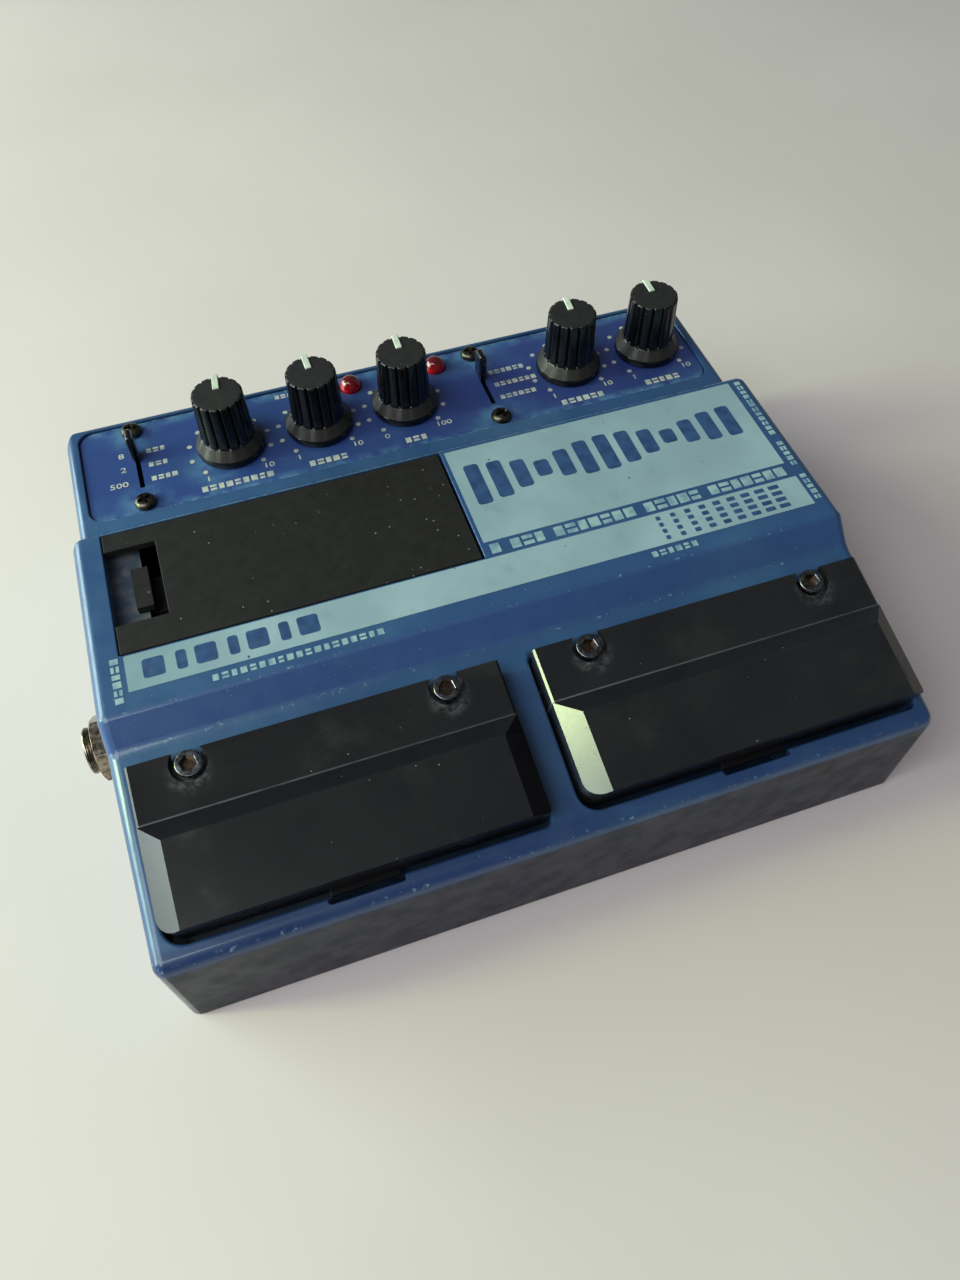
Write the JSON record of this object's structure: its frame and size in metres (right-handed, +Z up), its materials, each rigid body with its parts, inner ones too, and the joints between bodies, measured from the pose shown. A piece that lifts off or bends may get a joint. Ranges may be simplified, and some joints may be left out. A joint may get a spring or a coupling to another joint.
{
  "type": "guitar effects pedal",
  "caption": "Floor effects pedal with a sloped die-cast case, two black foot treadles, turning knobs, slide switches, indicator lamps, a battery door and side jacks.",
  "frame": {"origin": "middle of the footprint at the table, under the centre of the case", "axes": "+X to the user's right along the long side, +Y to the rear edge with the knobs, +Z up"},
  "size_m": [0.1996, 0.145, 0.0667],
  "materials": {
    "blue_paint": "medium blue satin enamel on die-cast metal, fine orange peel, worn edges",
    "label_ink": "printed royal-blue panel film, satin",
    "knob_plastic": "glossy black moulded plastic with a white pointer line",
    "plated_steel": "zinc-plated steel",
    "red_lens": "translucent red epoxy lens",
    "black_satin": "satin black coating, lightly scuffed",
    "aged_steel": "dull, tarnished screw steel",
    "chrome": "nickel plate",
    "charcoal_plastic": "charcoal textured plastic",
    "battery_wrap": "printed metal battery jacket, no marks",
    "green_board": "solder-masked board",
    "rubber": "matte black rubber"
  },
  "bodies": {
    "case": {"enclosure": "blue_paint", "control_label": "label_ink", "pot_time": "plated_steel", "pot_repeats": "plated_steel", "pot_mix": "plated_steel", "pot_output": "plated_steel", "pot_input": "plated_steel", "switch_body_left": "plated_steel", "switch_body_right": "plated_steel", "hinge_pin_left": "plated_steel", "hinge_pin_right": "plated_steel", "bottom_plate": "plated_steel", "led_1": "red_lens", "led_2": "red_lens", "panscrew_left_front": "aged_steel", "panscrew_left_rear": "aged_steel", "panscrew_right_front": "aged_steel", "panscrew_right_rear": "aged_steel", "basescrew_1": "aged_steel", "basescrew_2": "aged_steel", "basescrew_3": "aged_steel", "basescrew_4": "aged_steel", "output_jack": "chrome", "input_jack": "chrome", "trigger_jack": "chrome", "output_jack_nut": "chrome", "input_jack_nut": "chrome", "trigger_jack_nut": "chrome", "power_jack": "charcoal_plastic", "battery_tray": "charcoal_plastic", "footswitch_left": "charcoal_plastic", "footswitch_right": "charcoal_plastic", "battery": "battery_wrap", "circuit_board": "green_board", "foot_1": "rubber", "foot_2": "rubber", "foot_3": "rubber", "foot_4": "rubber"},
    "knob_time": {"knob_time": "knob_plastic", "shaft_time": "plated_steel"},
    "knob_repeats": {"knob_repeats": "knob_plastic", "shaft_repeats": "plated_steel"},
    "knob_mix": {"knob_mix": "knob_plastic", "shaft_mix": "plated_steel"},
    "knob_output": {"knob_output": "knob_plastic", "shaft_output": "plated_steel"},
    "knob_input": {"knob_input": "knob_plastic", "shaft_input": "plated_steel"},
    "lever_left": {"lever_left": "black_satin"},
    "lever_right": {"lever_right": "black_satin"},
    "treadle_left": {"treadle_left": "black_satin", "capscrew_left_inner": "aged_steel", "capscrew_left_outer": "aged_steel"},
    "plunger_left": {"plunger_left": "plated_steel"},
    "treadle_right": {"treadle_right": "black_satin", "capscrew_right_inner": "aged_steel", "capscrew_right_outer": "aged_steel"},
    "plunger_right": {"plunger_right": "plated_steel"},
    "door": {"battery_door": "charcoal_plastic"},
    "latch": {"door_latch": "black_satin"}
  },
  "joints": [
    {"name": "knob_time_turn", "type": "hinge", "parent": "case", "child": "knob_time", "pos_m": [-0.0483, 0.0547, 0.0486], "axis": [0, 0, 1], "range_deg": [-150, 150]},
    {"name": "knob_repeats_turn", "type": "hinge", "parent": "case", "child": "knob_repeats", "pos_m": [-0.0243, 0.0547, 0.0486], "axis": [0, 0, 1], "range_deg": [-150, 150]},
    {"name": "knob_mix_turn", "type": "hinge", "parent": "case", "child": "knob_mix", "pos_m": [-0.0003, 0.0547, 0.0486], "axis": [0, 0, 1], "range_deg": [-150, 150]},
    {"name": "knob_output_turn", "type": "hinge", "parent": "case", "child": "knob_output", "pos_m": [0.0477, 0.0547, 0.0486], "axis": [0, 0, 1], "range_deg": [-150, 150]},
    {"name": "knob_input_turn", "type": "hinge", "parent": "case", "child": "knob_input", "pos_m": [0.0717, 0.0547, 0.0486], "axis": [0, 0, 1], "range_deg": [-150, 150]},
    {"name": "lever_left_slide", "type": "slide", "parent": "case", "child": "lever_left", "axis": [0, -1, 0], "range_m": [0, 0.0082]},
    {"name": "lever_right_slide", "type": "slide", "parent": "case", "child": "lever_right", "axis": [0, -1, 0], "range_m": [0, 0.0082]},
    {"name": "treadle_left_press", "type": "hinge", "parent": "case", "child": "treadle_left", "pos_m": [-0.04593, -0.03773, 0.0381], "axis": [1, 0, 0], "range_deg": [0, 4.5], "stiffness_Nm_per_rad": 4, "springref_deg": -2.86},
    {"name": "plunger_left_slide", "type": "slide", "parent": "case", "child": "plunger_left", "axis": [0, 0, -1], "range_m": [0, 0.0015]},
    {"name": "treadle_right_press", "type": "hinge", "parent": "case", "child": "treadle_right", "pos_m": [0.04593, -0.03773, 0.0381], "axis": [1, 0, 0], "range_deg": [0, 4.5], "stiffness_Nm_per_rad": 4, "springref_deg": -2.86},
    {"name": "plunger_right_slide", "type": "slide", "parent": "case", "child": "plunger_right", "axis": [0, 0, -1], "range_m": [0, 0.0015]},
    {"name": "door_lift", "type": "hinge", "parent": "case", "child": "door", "pos_m": [0.0006, 0.01385, 0.0493], "axis": [0, 1, 0], "range_deg": [0, 70]},
    {"name": "latch_slide", "type": "slide", "parent": "door", "child": "latch", "axis": [1, 0, 0], "range_m": [0, 0.0018], "stiffness_N_per_m": 300}
  ],
  "couplings": [
    {"joint": "plunger_left_slide", "follows": "treadle_left_press", "m_per_rad": 0.0173},
    {"joint": "plunger_right_slide", "follows": "treadle_right_press", "m_per_rad": 0.0173}
  ]
}
